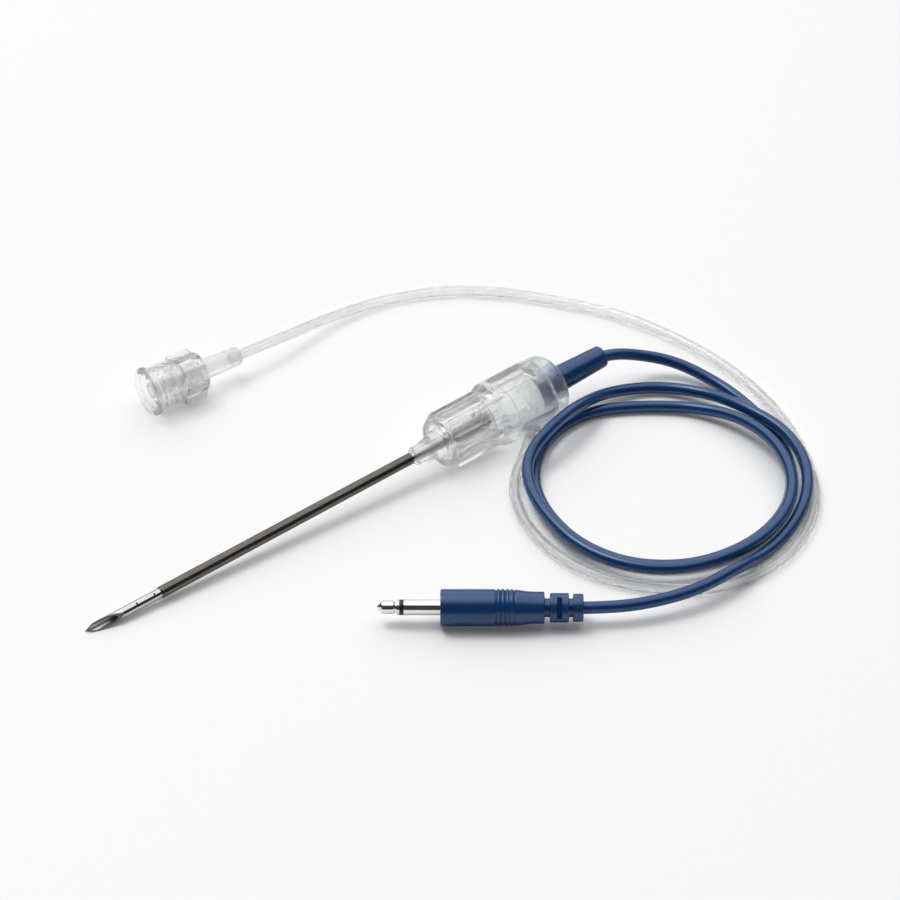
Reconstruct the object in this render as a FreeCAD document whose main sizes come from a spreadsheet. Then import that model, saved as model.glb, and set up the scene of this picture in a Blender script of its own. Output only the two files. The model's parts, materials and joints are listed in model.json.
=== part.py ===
import FreeCAD, Part
import math
import os
import Sketcher

# A nerve stimulation needle as it lies on a table, with its stimulator lead and its injection tube.
# The needle lies along X with its point at -X. Its tube and its hub touch the floor.
# The pieces of the needle are drawn along their own X axis, measured from the point, and then tilted.
# The plug and the luer fitting are drawn the same way along their own axes and laid on the floor.

doc = FreeCAD.newDocument("nerve_stimulation_needle")

# Driving sizes in millimetres and degrees

SIZES = [
    ("cannula_radius", 1.22, "outside of the steel tube"),
    ("cannula_bore", 0.9, "radius of its bore"),
    ("needle_length", 90.9, "point to the front of the hub"),
    ("cannula_hold", 22.0, "length of the steel tube inside the hub"),
    ("bevel_length", 9.0, "ground face at the point"),
    ("bevel_roll", 58.7, "that face turned about the tube, degrees from straight up"),
    ("lancet_angle", 25.0, "each side cut at the point, degrees"),
    ("bare_point", 19.4, "steel left bare at the point"),
    ("bare_root", 0.8, "steel left bare before the hub"),
    ("coat_wall", 0.18, "insulation on the steel"),
    ("coat_lead", 0.4, "chamfer at the front of the insulation"),
    ("glue_gap", 0.03, "radial gap of glued and pressed pieces"),
    ("seat_room", 0.3, "room behind what is pushed into a seat"),
    ("nose_radius", 2.28, "rim round the needle"),
    ("nose_rim", 1.0, "length of that rim"),
    ("nose_length", 7.0, "cone in front of the shell"),
    ("holder_radius", 3.5, "tube inside the shell that holds the needle"),
    ("holder_length", 12.2, "that tube behind the cone"),
    ("rib_count", 8, "ribs on the holder"),
    ("rib_reach", 4.5, "radius over the ribs"),
    ("rib_width", 0.8, "rib"),
    ("rib_start", 2.6, "rib behind the shell's front"),
    ("contact_start", 11.6, "contact behind the front of the hub"),
    ("contact_length", 6.5, "contact sleeve"),
    ("contact_wall", 0.46, "contact sleeve"),
    ("collar_face", 5.7, "radius of the shell's front face"),
    ("collar_sides", 8, "flats of the shell's collar"),
    ("collar_flat", 6.65, "axis to each of the flats"),
    ("collar_round", 7.15, "radius over the eased corners"),
    ("collar_chamfer", 2.1, "length of the front chamfer"),
    ("collar_length", 14.4, "eight-sided collar"),
    ("shoulder_length", 2.0, "from the collar up to the barrel"),
    ("shoulder_edge", 0.6, "length of the barrel's front chamfer"),
    ("shoulder_drop", 0.15, "depth of that chamfer"),
    ("barrel_radius", 8.0, "barrel"),
    ("barrel_length", 13.7, "barrel from its shoulder to the cap"),
    ("front_wall", 2.1, "shell round the holder"),
    ("collar_bore", 4.6, "room inside the collar"),
    ("barrel_step", 13.3, "room inside the collar ends, behind its front"),
    ("block_bore", 5.2, "room for the front of the flow block"),
    ("inner_step", 19.5, "step inside the barrel, behind its front"),
    ("barrel_bore", 5.6, "room inside the barrel"),
    ("scoop_height", 6.6, "axis to the thumb flat"),
    ("scoop_start", 1.0, "thumb flat behind the shoulder"),
    ("scoop_length", 11.1, "thumb flat with its rear wall"),
    ("scoop_curve", 2.4, "radius of the rear wall of the flat"),
    ("port_setback", 5.7, "tube port behind the shoulder"),
    ("port_side", 6.9, "tube port beside the axis"),
    ("port_drop", 5.0, "tube port below the axis"),
    ("port_angle", 41.5, "tube port from the axis, degrees"),
    ("port_radius", 2.05, "boss round the port"),
    ("tube_radius", 1.3, "injection tube"),
    ("tube_seat", 2.8, "injection tube inside the port and the socket"),
    ("cable_radius", 1.4, "stimulator lead"),
    ("cable_seat", 3.0, "lead inside its sleeve and the plug"),
    ("passage_radius", 0.9, "liquid passage"),
    ("chamber_length", 3.5, "room behind the steel tube"),
    ("block_start", 13.5, "flow block behind the shell's front"),
    ("block_length", 13.5, "flow block"),
    ("wire_radius", 0.5, "conductor"),
    ("wire_height", 3.4, "conductor above the axis past the flow block"),
    ("wire_gap", 0.08, "room round the conductor"),
    ("cap_length", 4.35, "rear cap outside the shell"),
    ("cap_inset", 0.15, "cap smaller than the barrel"),
    ("cap_rear", 6.4, "radius of the cap's rear face"),
    ("cap_full", 2.4, "full part of the cap behind the joint"),
    ("spigot_length", 2.7, "cap inside the barrel"),
    ("cap_bore", 4.6, "room inside the cap"),
    ("cap_wall", 3.4, "wall round the lead's sleeve"),
    ("relief_front", 3.2, "radius of the lead's sleeve at the cap"),
    ("relief_rear", 2.7, "radius of its end"),
    ("relief_length", 15.2, "sleeve outside the cap"),
    ("flange_radius", 4.4, "flange that holds the sleeve"),
    ("flange_width", 1.6, "that flange"),
    ("spin_gap", 0.08, "gap round what turns"),
    ("luer_lip", 6.05, "radius of the turning collar's lip"),
    ("luer_lip_width", 1.3, "that lip"),
    ("luer_skirt", 5.4, "outside of the collar over its thread"),
    ("luer_thread", 4.4, "bore of the collar"),
    ("luer_cup", 8.6, "depth of the cup"),
    ("luer_collar_end", 15.0, "length of the collar"),
    ("luer_tail", 4.5, "radius of the collar's end"),
    ("luer_back_wall", 2.0, "wall that holds the collar on the neck"),
    ("wing_count", 4, "grip wings"),
    ("wing_reach", 6.9, "radius over the wings"),
    ("wing_roll", 45.0, "first wing from straight up, degrees"),
    ("wing_width", 1.1, "wing"),
    ("wing_start", 8.2, "front of the wings"),
    ("wing_crest", 4.4, "length of a wing at full height"),
    ("wing_edge", 0.6, "slope at the front of a wing"),
    ("wing_tail", 0.8, "collar left bare behind the wings"),
    ("cone_setback", 1.0, "cone behind the collar's mouth"),
    ("cone_radius", 1.98, "tip of the cone"),
    ("cone_taper", 0.06, "change of diameter by length"),
    ("cone_bore", 1.05, "bore of the cone"),
    ("neck_radius", 2.5, "neck that the collar turns on"),
    ("neck_flange", 3.1, "flange that holds the collar"),
    ("neck_flange_width", 1.0, "that flange"),
    ("ring_radius", 3.0, "ring behind the collar"),
    ("ring_width", 0.7, "that ring"),
    ("neck_length", 4.0, "neck behind the ring"),
    ("socket_radius", 2.45, "tube socket"),
    ("socket_length", 6.1, "tube socket"),
    ("jack_radius", 1.75, "contact sleeve of the plug"),
    ("jack_length", 14.0, "metal outside the housing"),
    ("jack_point", 0.25, "flat at the plug's point"),
    ("jack_cone", 1.2, "cone of the tip"),
    ("jack_nose", 1.5, "ball of the tip"),
    ("jack_nose_length", 4.0, "ball of the tip"),
    ("jack_back", 0.45, "slope behind the ball"),
    ("jack_waist", 1.2, "groove behind the ball"),
    ("jack_groove", 0.34, "that groove"),
    ("jack_ring", 0.6, "ring behind the groove"),
    ("insulator_ring", 0.94, "black ring"),
    ("insulator_outer", 1.2, "insulating tube"),
    ("rod_radius", 0.7, "rod through the sleeve"),
    ("rod_reach", 5.0, "rod behind the front of the housing"),
    ("sleeve_reach", 2.8, "contact sleeve inside the housing"),
    ("sleeve_root", 2.05, "contact sleeve inside the housing"),
    ("sleeve_flange", 2.6, "flange of the contact sleeve"),
    ("sleeve_flange_width", 1.4, "that flange"),
    ("cup_radius", 1.2, "solder cup"),
    ("cup_length", 3.2, "solder cup"),
    ("plug_radius", 4.1, "plug housing"),
    ("plug_grip", 19.7, "full part of the housing"),
    ("plug_grip_end", 23.0, "housing to the sleeve of segments"),
    ("plug_neck", 3.56, "housing behind its shoulder"),
    ("plug_taper", 3.5, "length of the cone down to that"),
    ("plug_core", 2.1, "core between the segments"),
    ("plug_gap", 1.2, "first gap between the segments"),
    ("segment_length", 4.2, "first segment"),
    ("segment_radius", 3.27, "first segment"),
    ("last_gap", 0.9, "second gap"),
    ("last_segment", 2.3, "last segment"),
    ("last_radius", 3.1, "last segment"),
    ("slot_width", 1.2, "slot through the first segment"),
    ("slot_height", 4.9, "slot through the first segment"),
]

sheet = doc.addObject("Spreadsheet::Sheet", "sizes")
for row, (alias, value, note) in enumerate(SIZES, start=1):
    sheet.set("A%d" % row, note)
    sheet.set("B%d" % row, str(value))
    sheet.setAlias("B%d" % row, alias)
doc.recompute()


class Size:
    """A number together with the expression that works it out from the sheet."""

    def __init__(self, text, value):
        self.text = text
        self.value = value

    def __add__(self, other):
        other = as_size(other)
        return Size("(%s + %s)" % (self.text, other.text), self.value + other.value)

    def __sub__(self, other):
        other = as_size(other)
        return Size("(%s - %s)" % (self.text, other.text), self.value - other.value)

    def __mul__(self, other):
        other = as_size(other)
        return Size("(%s * %s)" % (self.text, other.text), self.value * other.value)

    def __truediv__(self, other):
        other = as_size(other)
        return Size("(%s / %s)" % (self.text, other.text), self.value / other.value)

    def __neg__(self):
        return Size("(-1 * %s)" % self.text, -self.value)


def as_size(number):
    return number if isinstance(number, Size) else Size(repr(float(number)), float(number))


def of_angle(name, size):
    """Sine, cosine or tangent of an angle in degrees."""
    return Size("%s(%s)" % (name, size.text), getattr(math, name)(math.radians(size.value)))


def slope_angle(rise):
    """Angle in degrees of a slope given as height over length."""
    return Size("atan(%s)" % rise.text, math.degrees(math.atan(rise.value)))


def root(size):
    return Size("sqrt(%s)" % size.text, math.sqrt(size.value))


def largest(*sizes):
    return Size("max(%s)" % "; ".join(s.text for s in sizes), max(s.value for s in sizes))


class Sheet:
    """Every driving size by its name."""


for alias, value, note in SIZES:
    setattr(Sheet, alias, Size("sizes." + alias, float(sheet.get(alias))))
S = Sheet
ZERO = as_size(0.0)
FLAT = 1e-9

# Stations along the needle, from its point

hub_front = S.needle_length
shell_front = hub_front + S.nose_length
cannula_end = hub_front + S.cannula_hold
coat_radius = S.cannula_radius + S.coat_wall
holder_end = shell_front + S.holder_length
contact_front = hub_front + S.contact_start
contact_end = contact_front + S.contact_length
contact_radius = S.cannula_radius + S.glue_gap + S.contact_wall
collar_end = shell_front + S.collar_length
shoulder = collar_end + S.shoulder_length
shell_end = shoulder + S.barrel_length
cap_radius = S.barrel_radius - S.cap_inset
cap_end = shell_end + S.cap_length
relief_end = cap_end + S.relief_length
block_front = shell_front + S.block_start
block_end = block_front + S.block_length
step_place = shell_front + S.inner_step
wall_front = cap_end - S.cap_wall
flange_front = wall_front - S.glue_gap - S.flange_width
cable_start = relief_end - S.cable_seat
tube_bore = S.tube_radius + S.glue_gap
cable_bore = S.cable_radius + S.glue_gap
wire_bore = S.wire_radius + S.wire_gap
wire_place = contact_end - wire_bore

# The needle rests where its tube starts below the ground face, and on the collar or the barrel

foot = S.bevel_length * (as_size(1.0) - of_angle("cos", S.bevel_roll)) / 2
rest_slope = largest(
    (S.collar_round - S.cannula_radius) / (shell_front + S.collar_chamfer - foot),
    (S.barrel_radius - S.cannula_radius) / (shoulder - foot),
)
tilt = slope_angle(rest_slope)
point_x = -(relief_end * of_angle("cos", tilt)) / 2
point_z = S.cannula_radius * of_angle("cos", tilt) - foot * of_angle("sin", tilt)

# Helpers that draw and shape the pieces


def new_body(name):
    body = doc.addObject("PartDesign::Body", name)
    body.Label = name
    return body


def new_sketch(body, plane="XZ", base=(ZERO, ZERO, ZERO), turn_axis=None, turn=ZERO):
    """A sketch on one of the body's own planes, moved by base and turned about turn_axis."""
    sketch = body.newObject("Sketcher::SketchObject", body.Name + "_outline")
    face = next(f for f in body.Origin.OriginFeatures if f.Role == plane + "_Plane")
    sketch.AttachmentSupport = [(face, "")]
    sketch.MapMode = "FlatFace"
    rotation = FreeCAD.Rotation()
    if turn_axis is not None:
        rotation = FreeCAD.Rotation(FreeCAD.Vector(*turn_axis), turn.value)
    place = FreeCAD.Vector(*[b.value for b in base])
    sketch.AttachmentOffset = FreeCAD.Placement(place, rotation)
    for axis, distance in zip("xyz", base):
        if distance is not ZERO:
            sketch.setExpression("AttachmentOffset.Base." + axis, distance.text)
    if turn_axis is not None:
        sketch.setExpression("AttachmentOffset.Rotation.Angle", turn.text)
    return sketch


def arc_centre(start, end, radius, side):
    """Centre of an arc from start to end that bulges to the left or the right of its chord."""
    chord = end - start
    half = chord.Length / 2
    left = FreeCAD.Vector(-chord.y, chord.x, 0).normalize()
    middle = (start + end) / 2
    depth = math.sqrt(radius * radius - half * half)
    toward = left if side == "left" else left * -1
    return middle - toward * depth


def fix_vertex(sketch, geometry, end, x, y):
    """Ties one vertex to the sheet, across and up from the sketch's origin."""
    for kind, size, axis in (("DistanceX", x, -2), ("DistanceY", y, -1)):
        if size is ZERO:
            sketch.addConstraint(Sketcher.Constraint("PointOnObject", geometry, end, axis))
            continue
        if size.value < 0:
            ends, size = (geometry, end, -1, 1), -size
        else:
            ends = (-1, 1, geometry, end)
        index = sketch.addConstraint(Sketcher.Constraint(kind, *ends, size.value))
        sketch.setExpression("Constraints[%d]" % index, size.text)


def draw(sketch, points):
    """A closed outline. A point is (x, y), or (x, y, radius, side) where an arc leads to it."""
    points = [[ZERO if p == 0 else p for p in point] for point in points]
    ends = []
    first = sketch.GeometryCount
    for i, point in enumerate(points):
        start = FreeCAD.Vector(points[i - 1][0].value, points[i - 1][1].value, 0)
        end = FreeCAD.Vector(point[0].value, point[1].value, 0)
        if len(point) == 2:
            sketch.addGeometry(Part.LineSegment(start, end), False)
            ends.append((first + i, 1, 2))
            continue
        centre = arc_centre(start, end, point[2].value, point[3])
        a, b = (end, start) if point[3] == "left" else (start, end)
        angles = [math.atan2(v.y - centre.y, v.x - centre.x) for v in (a, b)]
        if angles[1] < angles[0]:
            angles[1] += 2 * math.pi
        circle = Part.Circle(centre, FreeCAD.Vector(0, 0, 1), point[2].value)
        sketch.addGeometry(Part.ArcOfCircle(circle, angles[0], angles[1]), False)
        ends.append((first + i, 2, 1) if point[3] == "left" else (first + i, 1, 2))
    for i, (geometry, begins, stops) in enumerate(ends):
        after, after_begins = ends[(i + 1) % len(ends)][:2]
        sketch.addConstraint(Sketcher.Constraint("Coincident", geometry, stops, after, after_begins))
    for i, point in enumerate(points):
        fix_vertex(sketch, ends[i][0], ends[i][2], point[0], point[1])
        if len(point) == 4:
            index = sketch.addConstraint(Sketcher.Constraint("Radius", ends[i][0], point[2].value))
            sketch.setExpression("Constraints[%d]" % index, point[2].text)
    doc.recompute()


def turned(body, points, kind="Revolution", **place):
    """Material added or, for a Groove, taken away round the X axis of a sketch."""
    before = body.Shape.Volume if kind == "Groove" else 0
    sketch = new_sketch(body, **place)
    draw(sketch, points)
    feature = body.newObject("PartDesign::" + kind, body.Name + "_" + kind.lower())
    feature.Profile = sketch
    feature.ReferenceAxis = (sketch, ["H_Axis"])
    feature.Angle = 360
    doc.recompute()
    if kind == "Groove" and not feature.Shape.Volume < before:
        raise ValueError(body.Label + ": a groove takes nothing away")
    return feature


def box_between(x0, x1, y0, y1):
    return [(x0, y0), (x1, y0), (x1, y1), (x0, y1)]


def cut_through(body, points, plane, **place):
    """A pocket through the whole body on both sides of a plane."""
    before = body.Shape.Volume
    sketch = new_sketch(body, plane, **place)
    draw(sketch, points)
    pocket = body.newObject("PartDesign::Pocket", body.Name + "_cut")
    pocket.Profile = sketch
    pocket.Type = "ThroughAll"
    pocket.SideType = "Symmetric"
    doc.recompute()
    if not pocket.Shape.Volume < before:
        raise ValueError(body.Label + ": a cut takes nothing away")
    return pocket


def rib(body, points, width, roll=ZERO):
    """A plate through the X axis, rolled about it, half of its width on each side."""
    sketch = new_sketch(body, "XZ", turn_axis=(1, 0, 0), turn=roll)
    draw(sketch, points)
    pad = body.newObject("PartDesign::Pad", body.Name + "_rib")
    pad.Profile = sketch
    pad.SideType = "Symmetric"
    pad.setExpression("Length", width.text)
    doc.recompute()
    return pad


def spread_round(body, feature, count):
    """Copies of a feature, evenly spaced round the X axis."""
    pattern = body.newObject("PartDesign::PolarPattern", body.Name + "_round")
    pattern.Originals = [feature]
    pattern.Axis = (feature.Profile[0], ["H_Axis"])
    pattern.Angle = 360
    pattern.setExpression("Occurrences", count.text)
    body.Tip = pattern
    doc.recompute()
    return pattern


PIECES = []


def on_needle(piece):
    """Tilts a piece that was drawn along the needle into its resting place."""
    piece.Placement = FreeCAD.Placement(
        FreeCAD.Vector(point_x.value, 0, point_z.value),
        FreeCAD.Rotation(FreeCAD.Vector(0, 1, 0), -tilt.value),
    )
    if piece.TypeId == "PartDesign::Body":
        piece.setExpression("Placement.Base.x", point_x.text)
        piece.setExpression("Placement.Base.z", point_z.text)
        piece.setExpression("Placement.Rotation.Angle", "-1 * " + tilt.text)
    PIECES.append(piece)


# The steel tube with its ground point


def make_cannula():
    body = new_body("cannula")
    turned(body, box_between(0, cannula_end, S.cannula_bore, S.cannula_radius))
    top = S.cannula_radius * 2
    bevel = [
        (0, -S.cannula_radius),
        (S.bevel_length, S.cannula_radius),
        (S.bevel_length, top),
        (-S.bevel_length, top),
        (-S.bevel_length, -S.cannula_radius),
    ]
    cut_through(body, bevel, "XZ", turn_axis=(1, 0, 0), turn=S.bevel_roll)
    side_reach = top / of_angle("tan", S.lancet_angle)
    across = S.bevel_roll + 90
    for side in (as_size(1.0), as_size(-1.0)):
        cut_points = [(0, 0), (side_reach, top * side), (0, top * side)]
        cut_through(body, cut_points, "XZ", turn_axis=(1, 0, 0), turn=across)
    on_needle(body)


def make_shaft_insulation():
    body = new_body("shaft_insulation")
    inner = S.cannula_radius + S.glue_gap / 2
    points = [
        (S.bare_point, inner),
        (hub_front - S.bare_root, inner),
        (hub_front - S.bare_root, coat_radius),
        (S.bare_point + S.coat_lead, coat_radius),
    ]
    turned(body, points)
    on_needle(body)


# The hub: a clear nose and shell, the flow block inside, and a rear cap


def make_hub_nose():
    body = new_body("hub_nose")
    bore = S.cannula_radius + S.glue_gap
    wide_bore = contact_radius + S.glue_gap
    rim_end = hub_front + S.nose_rim
    points = [
        (hub_front, bore),
        (hub_front, S.nose_radius),
        (rim_end, S.nose_radius),
        (shell_front, S.holder_radius),
        (holder_end, S.holder_radius),
        (holder_end, wide_bore),
        (contact_front, wide_bore),
        (contact_front, bore),
    ]
    turned(body, points)
    start = shell_front + S.rib_start
    slope = S.rib_reach - S.holder_radius
    inside = (S.holder_radius + wide_bore) / 2
    outline = [
        (start, inside),
        (holder_end, inside),
        (holder_end, S.rib_reach),
        (start + slope, S.rib_reach),
        (start, S.holder_radius),
    ]
    spread_round(body, rib(body, outline, S.rib_width), S.rib_count)
    slot_front = wire_place - wire_bore
    slot_end = holder_end + S.seat_room
    slot = [
        (slot_front, -wire_bore),
        (slot_end, -wire_bore),
        (slot_end, wire_bore),
        (slot_front, wire_bore),
    ]
    cut_through(body, slot, "XY")
    on_needle(body)


port_base = (shoulder + S.port_setback, -S.port_side, -S.port_drop)
seat_place = (
    port_base[0] + S.tube_seat * of_angle("cos", S.port_angle),
    port_base[1] + S.tube_seat * of_angle("sin", S.port_angle),
    port_base[2],
)
chamber_end = cannula_end + S.chamber_length


def passage(body):
    """The liquid passage from the chamber behind the steel tube to the seat of the side tube."""
    run = [seat_place[0] - chamber_end, seat_place[1], seat_place[2]]
    length = root(run[0] * run[0] + run[1] * run[1] + run[2] * run[2])
    turn = Size("acos(%s)" % (run[0] / length).text, math.degrees(math.acos(run[0].value / length.value)))
    axis = (0, -run[2].value, run[1].value)
    start = (chamber_end, ZERO, ZERO)
    points = [(0, 0), (length, 0), (length, S.passage_radius), (0, S.passage_radius)]
    turned(body, points, "Groove", plane="XY", base=start, turn_axis=axis, turn=turn)


def port_cut(body, points, kind):
    """A round feature along the side port, measured inward from its mouth."""
    turned(body, points, kind, plane="XY", base=port_base, turn_axis=(0, 0, 1), turn=S.port_angle)


def make_hub_shell():
    body = new_body("hub_shell")
    outer = [
        (collar_end - S.shoulder_length, S.collar_bore),
        (collar_end - S.shoulder_length, S.collar_flat),
        (collar_end, S.collar_flat),
        (shoulder - S.shoulder_edge, S.barrel_radius - S.shoulder_drop),
        (shoulder, S.barrel_radius),
        (shell_end, S.barrel_radius),
        (shell_end, S.collar_bore),
    ]
    turned(body, outer)
    sketch = new_sketch(body, "YZ", (ZERO, ZERO, shell_front))
    step = as_size(360.0) / S.collar_sides
    corner = S.collar_flat / of_angle("cos", step / 2)
    corners = []
    for count in range(int(S.collar_sides.value)):
        angle = step * count
        spot = [corner * of_angle("cos", angle), corner * of_angle("sin", angle)]
        corners.append([ZERO if abs(c.value) < FLAT else c for c in spot])
    draw(sketch, corners)
    collar = body.newObject("PartDesign::Pad", "hub_shell_collar")
    collar.Profile = sketch
    collar.setExpression("Length", S.collar_length.text)
    doc.recompute()
    over = corner + S.collar_chamfer
    chamfer = [
        (shell_front, S.collar_face),
        (shell_front + S.collar_chamfer, S.collar_round),
        (collar_end - S.shoulder_length / 2, S.collar_round),
        (collar_end, S.collar_flat),
        (collar_end, over),
        (shell_front, over),
    ]
    turned(body, chamfer, "Groove")
    port_end = S.tube_seat + S.seat_room
    port_cut(body, box_between(ZERO, port_end, ZERO, S.port_radius), "Revolution")
    for scoop_side in (as_size(1.0), as_size(-1.0)):
        cut_scoop(body, scoop_side)
    room = [
        (shell_front, 0),
        (shell_front, S.holder_radius + S.glue_gap),
        (shell_front + S.front_wall, S.holder_radius + S.glue_gap),
        (shell_front + S.front_wall, S.collar_bore),
        (shell_front + S.barrel_step, S.collar_bore),
        (shell_front + S.barrel_step, S.block_bore),
        (step_place, S.block_bore),
        (step_place, S.barrel_bore),
        (shell_end, S.barrel_bore),
        (shell_end, 0),
    ]
    turned(body, room, "Groove")
    port_cut(body, box_between(-S.port_side, S.tube_seat, ZERO, tube_bore), "Groove")
    passage(body)
    on_needle(body)


def cut_scoop(body, side):
    """A flat for the thumb, with a curved wall at its rear."""
    start = shoulder + S.scoop_start
    end = start + S.scoop_length
    above = S.barrel_radius * 2
    bulge = "left" if side.value < 0 else "right"
    points = [
        (start, S.scoop_height * side),
        (end - S.scoop_curve / 2, S.scoop_height * side),
        (end, S.barrel_radius * side, S.scoop_curve, bulge),
        (end, above * side),
        (start, above * side),
    ]
    cut_through(body, points, "XZ")


def make_flow_block():
    body = new_body("flow_block")
    front_radius = S.block_bore - S.glue_gap
    rear_radius = S.barrel_bore - S.glue_gap
    step = step_place + S.glue_gap
    bore = S.cannula_radius + S.glue_gap
    points = [
        (block_front, bore),
        (block_front, front_radius),
        (step, front_radius),
        (step, rear_radius),
        (block_end, rear_radius),
        (block_end, 0),
        (chamber_end, 0),
        (chamber_end, S.passage_radius),
        (cannula_end + S.glue_gap, S.passage_radius),
        (cannula_end + S.glue_gap, bore),
    ]
    turned(body, points)
    passage(body)
    past = as_size(1.0)
    wire_hole = box_between(block_front - past, block_end + past, ZERO, wire_bore)
    turned(body, wire_hole, "Groove", plane="XY", base=(ZERO, ZERO, S.wire_height))
    on_needle(body)


def make_contact_sleeve():
    body = new_body("contact_sleeve")
    inner = S.cannula_radius + S.glue_gap
    turned(body, box_between(contact_front + S.glue_gap, contact_end, inner, contact_radius))
    on_needle(body)


def make_rear_cap():
    body = new_body("rear_cap")
    spigot = S.barrel_bore - S.glue_gap
    hole = S.relief_front + S.glue_gap
    points = [
        (shell_end - S.spigot_length, S.cap_bore),
        (shell_end - S.spigot_length, spigot),
        (shell_end, spigot),
        (shell_end, cap_radius),
        (shell_end + S.cap_full, cap_radius),
        (cap_end, S.cap_rear),
        (cap_end, hole),
        (wall_front, hole),
        (wall_front, S.cap_bore),
    ]
    turned(body, points)
    on_needle(body)


def make_strain_relief():
    body = new_body("strain_relief")
    points = [
        (flange_front, wire_bore),
        (flange_front, S.flange_radius),
        (flange_front + S.flange_width, S.flange_radius),
        (flange_front + S.flange_width, S.relief_front),
        (cap_end, S.relief_front),
        (relief_end, S.relief_rear),
        (relief_end, cable_bore),
        (cable_start, cable_bore),
        (cable_start, wire_bore),
    ]
    turned(body, points)
    on_needle(body)


# Swept pieces follow straight runs joined by arcs


def route_wire(points, reach, report=None):
    """Straight runs with an arc at each inner point, as large as reach of the shorter run allows."""
    spots = [FreeCAD.Vector(*p) for p in points]
    edges = []
    radii = []
    here = spots[0]
    for before, spot, after in zip(spots, spots[1:], spots[2:]):
        back = (before - spot).normalize()
        ahead = (after - spot).normalize()
        turn = math.pi - back.getAngle(ahead)
        tangent = reach * min((before - spot).Length, (after - spot).Length)
        radius = tangent / math.tan(turn / 2)
        start = spot + back * tangent
        end = spot + ahead * tangent
        middle = (back + ahead).normalize()
        crest = spot + middle * (radius / math.cos(turn / 2) - radius)
        edges.append(Part.LineSegment(here, start).toShape())
        edges.append(Part.Arc(start, crest, end).toShape())
        radii.append(radius)
        here = end
    edges.append(Part.LineSegment(here, spots[-1]).toShape())
    wire = Part.Wire(edges)
    if report:
        print(report, "arc radii", " ".join("%.1f" % r for r in radii))
        print(report, "length %.1f" % wire.Length)
    return wire


SECTION_SIDES = 6


def swept(name, wire, radius):
    """A six-sided solid along a wire, held as a feature of its own."""
    first = wire.Edges[0]
    start = first.valueAt(first.FirstParameter)
    direction = first.tangentAt(first.FirstParameter)
    circle = Part.makeCircle(radius, start, direction)
    corners = circle.discretize(SECTION_SIDES + 1)
    section = Part.makePolygon(corners[:-1] + corners[:1])
    solid = wire.makePipeShell([section], True, False)
    piece = doc.addObject("Part::Feature", name)
    piece.Label = name
    piece.Shape = solid
    wanted = Part.Face(section).Area * wire.Length
    if abs(solid.Volume / wanted - 1) > 0.01:
        raise ValueError(name + ": volume differs from section by length")
    return piece


def make_lead_conductor():
    """The wire from the contact over the flow block and down into the lead."""
    attach_x = wire_place.value
    low = contact_radius.value
    high = S.wire_height.value
    margin = (flange_front.value - block_end.value) / 4
    points = [
        (attach_x, 0, low),
        (attach_x, 0, high),
        (block_end.value + margin, 0, high),
        (flange_front.value - margin, 0, 0),
        (cable_start.value, 0, 0),
    ]
    piece = swept("lead_conductor", route_wire(points, 0.2), S.wire_radius.value)
    on_needle(piece)


# The lead and the tube lie in loose loops on the floor

LEAD_ROUTE = [
    (70.65, 0.0, 9.83), (78.13, 0.0, 10.29), (85.3, -2.0, 4.8), (91.4, -7.9, 2.3), (95.2, -17.6, 1.5),
    (96.0, -29.6, 1.5), (93.9, -41.8, 1.5), (88.1, -52.5, 1.5), (79.6, -61.4, 1.5), (68.5, -66.4, 1.5),
    (56.5, -67.3, 1.5), (45.0, -64.2, 1.5), (35.6, -56.1, 1.5), (31.2, -44.6, 1.5), (31.8, -32.6, 1.5),
    (35.6, -21.6, 1.5), (43.4, -12.7, 1.5), (54.0, -6.8, 1.5), (66.0, -6.8, 1.5), (76.4, -12.9, 1.5),
    (85.4, -21.0, 1.8), (89.3, -32.0, 4.0), (89.2, -44.0, 5.0), (85.1, -55.5, 4.8), (77.0, -64.4, 4.6),
    (66.0, -69.3, 4.1), (54.0, -69.8, 3.8), (42.0, -66.7, 3.8), (33.1, -58.6, 3.8), (28.7, -47.1, 3.9),
    (29.2, -35.1, 4.3), (32.3, -23.6, 4.9), (39.4, -14.2, 5.2), (49.3, -11.7, 8.1), (60.3, -8.6, 7.2),
    (73.0, -4.4, 2.4), (83.9, -9.0, 1.6), (90.6, -19.0, 2.6), (91.8, -30.5, 5.0), (93.7, -42.5, 5.0),
    (90.6, -54.3, 4.4), (82.8, -64.0, 3.4), (72.0, -69.7, 2.0), (61.0, -72.3, 1.6), (51.0, -74.8, 5.0),
    (40.5, -75.0, 4.8), (30.5, -72.4, 4.5), (20.6, -67.7, 4.4), (13.2, -61.9, 4.4),
]

TUBE_ROUTE = [
    (5.5, 58.1, 6.1), (14.5, 57.7, 6.1), (26.4, 58.9, 4.6), (39.4, 61.2, 2.3), (53.4, 60.2, 1.4),
    (67.4, 54.6, 1.4), (78.8, 45.1, 1.4), (87.7, 33.0, 1.4), (95.6, 20.4, 1.4), (100.0, 6.4, 1.4),
    (102.9, -8.1, 1.4), (103.3, -23.1, 1.4), (100.7, -37.6, 1.4), (95.1, -51.6, 1.4), (86.5, -64.3, 1.4),
    (74.3, -72.7, 1.4), (59.4, -76.9, 1.4), (44.5, -74.2, 1.4), (33.0, -64.6, 1.4), (25.6, -51.1, 1.4),
    (24.7, -36.5, 1.4), (28.3, -24.3, 1.4), (34.1, -15.9, 1.5), (42.18, -10.68, 3.10), (48.52, -5.06, 3.48),
]

CORD_REACH = 0.45


def make_cord(name, route, radius):
    PIECES.append(swept(name, route_wire(route, CORD_REACH, name), radius.value))


# The luer fitting: a cone on a neck, and a collar that turns on it

neck_front = S.luer_collar_end - S.luer_back_wall
ring_front = S.luer_collar_end + S.spin_gap
ring_rear = ring_front + S.ring_width
socket_end = ring_rear + S.neck_length + S.socket_length


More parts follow.
